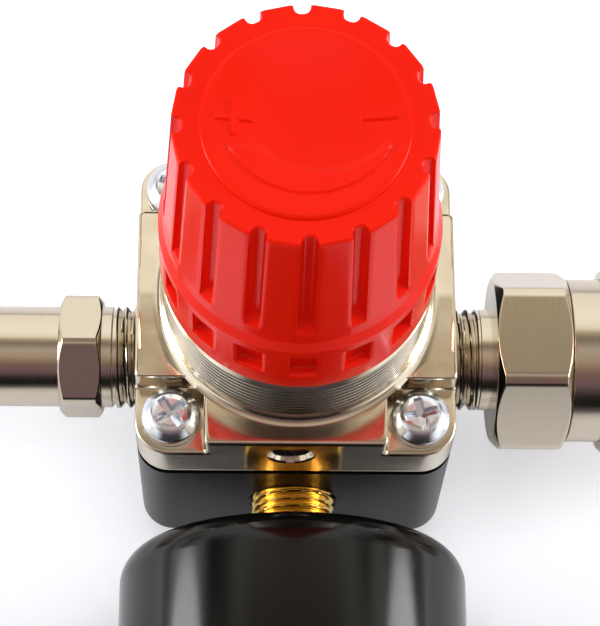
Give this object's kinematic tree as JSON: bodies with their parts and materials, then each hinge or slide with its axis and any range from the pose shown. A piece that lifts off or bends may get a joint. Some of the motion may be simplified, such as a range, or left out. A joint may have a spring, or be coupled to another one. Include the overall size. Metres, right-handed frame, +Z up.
{
  "type": "air pressure regulator",
  "caption": "Small air pressure regulator with a red pull-and-turn knob, back entry gauge, inlet nipple and quick coupler.",
  "frame": {"origin": "centre of the body's flat underside", "axes": "+Z up through the diaphragm and the knob, +X towards the quick coupler, -Y towards the gauge"},
  "size_m": [0.115, 0.0694, 0.0888],
  "materials": {
    "black_body": "satin black paint on die cast zinc",
    "nickel_bonnet": "bright nickel plated die casting",
    "nickel_fitting": "bright nickel plated turned brass",
    "zinc_screw": "clear zinc plated steel",
    "red_knob": "gloss moulded red plastic",
    "black_case": "satin moulded black plastic",
    "clear_lens": "clear moulded plastic",
    "white_dial": "white enamel on aluminium",
    "black_pointer": "black enamel",
    "brass": "machined brass",
    "black_rubber": "moulded nitrile rubber",
    "spring_steel": "bright spring wire",
    "steel": "plated steel",
    "white_plastic": "moulded acetal"
  },
  "bodies": {
    "root": {"body_housing": "black_body", "bonnet": "nickel_bonnet", "bonnet_screws": "zinc_screw", "bottom_cap": "brass", "cap_o_ring": "black_rubber", "stem_seal": "black_rubber", "rear_port_plug": "nickel_fitting", "thrust_washer": "white_plastic", "inlet_nipple": "nickel_fitting", "coupler_adapter": "nickel_fitting", "coupler_body": "nickel_fitting", "coupler_packing": "black_rubber", "sleeve_retaining_ring": "spring_steel", "gauge_socket": "brass", "gauge_case": "black_case", "case_screws": "steel", "gauge_lens": "clear_lens", "gauge_dial": "white_dial", "dial_screws": "steel", "bourdon_tube": "brass", "bourdon_tip": "brass", "movement_back_plate": "brass", "movement_front_plate": "brass", "movement_pillars": "brass"},
    "spindle": {"adjusting_screw": "steel", "spindle_circlip": "spring_steel"},
    "knob": {"control_knob": "red_knob"},
    "spring_nut": {"spring_seat_nut": "brass", "adjusting_spring": "spring_steel"},
    "poppet": {"poppet_valve": "brass", "valve_disc": "black_rubber", "valve_spring": "spring_steel"},
    "diaphragm_set": {"diaphragm_plate": "steel", "relief_seat": "brass", "diaphragm": "black_rubber"},
    "sleeve": {"coupler_sleeve": "nickel_fitting", "sleeve_spring": "spring_steel"},
    "socket_valve": {"coupler_valve": "brass", "coupler_valve_seal": "black_rubber", "coupler_valve_spring": "spring_steel"},
    "sector": {"sector_gear": "brass"},
    "link": {"tip_link": "brass"},
    "pointer": {"pointer_arbor": "brass", "gauge_pointer": "black_pointer"},
    "ball_1": {"locking_ball_1": "steel"},
    "ball_2": {"locking_ball_2": "steel"},
    "ball_3": {"locking_ball_3": "steel"},
    "ball_4": {"locking_ball_4": "steel"}
  },
  "joints": [
    {"name": "knob_turn", "type": "hinge", "parent": "root", "child": "spindle", "pos_m": [0, 0, 0.06], "axis": [0, 0, -1], "range_deg": [0, 1800]},
    {"name": "knob_pull", "type": "slide", "parent": "spindle", "child": "knob", "axis": [0, 0, 1], "range_m": [0, 0.0025]},
    {"name": "spring_seat_travel", "type": "slide", "parent": "root", "child": "spring_nut", "axis": [0, 0, -1], "range_m": [0, 0.0075], "deforming": ["adjusting_spring"]},
    {"name": "diaphragm_stroke", "type": "slide", "parent": "root", "child": "diaphragm_set", "axis": [0, 0, -1], "range_m": [0, 0.0008], "stiffness_N_per_m": 800, "springref_m": -0.0005, "deforming": ["diaphragm"]},
    {"name": "valve_stroke", "type": "slide", "parent": "root", "child": "poppet", "axis": [0, 0, -1], "range_m": [0, 0.0008], "deforming": ["valve_spring"]},
    {"name": "sleeve_pull", "type": "slide", "parent": "root", "child": "sleeve", "axis": [-1, 0, 0], "range_m": [0, 0.0038], "stiffness_N_per_m": 2500, "springref_m": -0.002, "deforming": ["sleeve_spring"]},
    {"name": "socket_valve_push", "type": "slide", "parent": "root", "child": "socket_valve", "axis": [-1, 0, 0], "range_m": [0, 0.004], "stiffness_N_per_m": 600, "springref_m": -0.004, "deforming": ["coupler_valve_spring"]},
    {"name": "sector_swing", "type": "hinge", "parent": "root", "child": "sector", "pos_m": [0.00707, -0.0396, 0.00533], "axis": [0, -1, 0], "range_deg": [0, 38.5], "stiffness_Nm_per_rad": 0.0005, "springref_deg": -8.59},
    {"name": "pointer_turn", "type": "hinge", "parent": "root", "child": "pointer", "pos_m": [0, -0.044, 0.0124], "axis": [0, -1, 0], "range_deg": [-270, 0]},
    {"name": "link_swing", "type": "hinge", "parent": "sector", "child": "link", "pos_m": [0.01051, -0.0396, 0.00292], "axis": [0, -1, 0], "range_deg": [-40, 0]},
    {"name": "ball_1_release", "type": "slide", "parent": "root", "child": "ball_1", "axis": [0, -0.7071, 0.7071], "range_m": [0, 0.0008]},
    {"name": "ball_2_release", "type": "slide", "parent": "root", "child": "ball_2", "axis": [0, -0.7071, -0.7071], "range_m": [0, 0.0008]},
    {"name": "ball_3_release", "type": "slide", "parent": "root", "child": "ball_3", "axis": [0, 0.7071, -0.7071], "range_m": [0, 0.0008]},
    {"name": "ball_4_release", "type": "slide", "parent": "root", "child": "ball_4", "axis": [0, 0.7071, 0.7071], "range_m": [0, 0.0008]}
  ],
  "couplings": [
    {"joint": "spring_seat_travel", "follows": "knob_turn", "m_per_rad": 0.00023873},
    {"joint": "valve_stroke", "follows": "diaphragm_stroke", "ratio": 1},
    {"joint": "pointer_turn", "follows": "sector_swing", "ratio": -7},
    {"joint": "link_swing", "follows": "sector_swing", "ratio": -1},
    {"joint": "ball_1_release", "follows": "sleeve_pull", "ratio": 0.21053},
    {"joint": "ball_2_release", "follows": "sleeve_pull", "ratio": 0.21053},
    {"joint": "ball_3_release", "follows": "sleeve_pull", "ratio": 0.21053},
    {"joint": "ball_4_release", "follows": "sleeve_pull", "ratio": 0.21053}
  ]
}
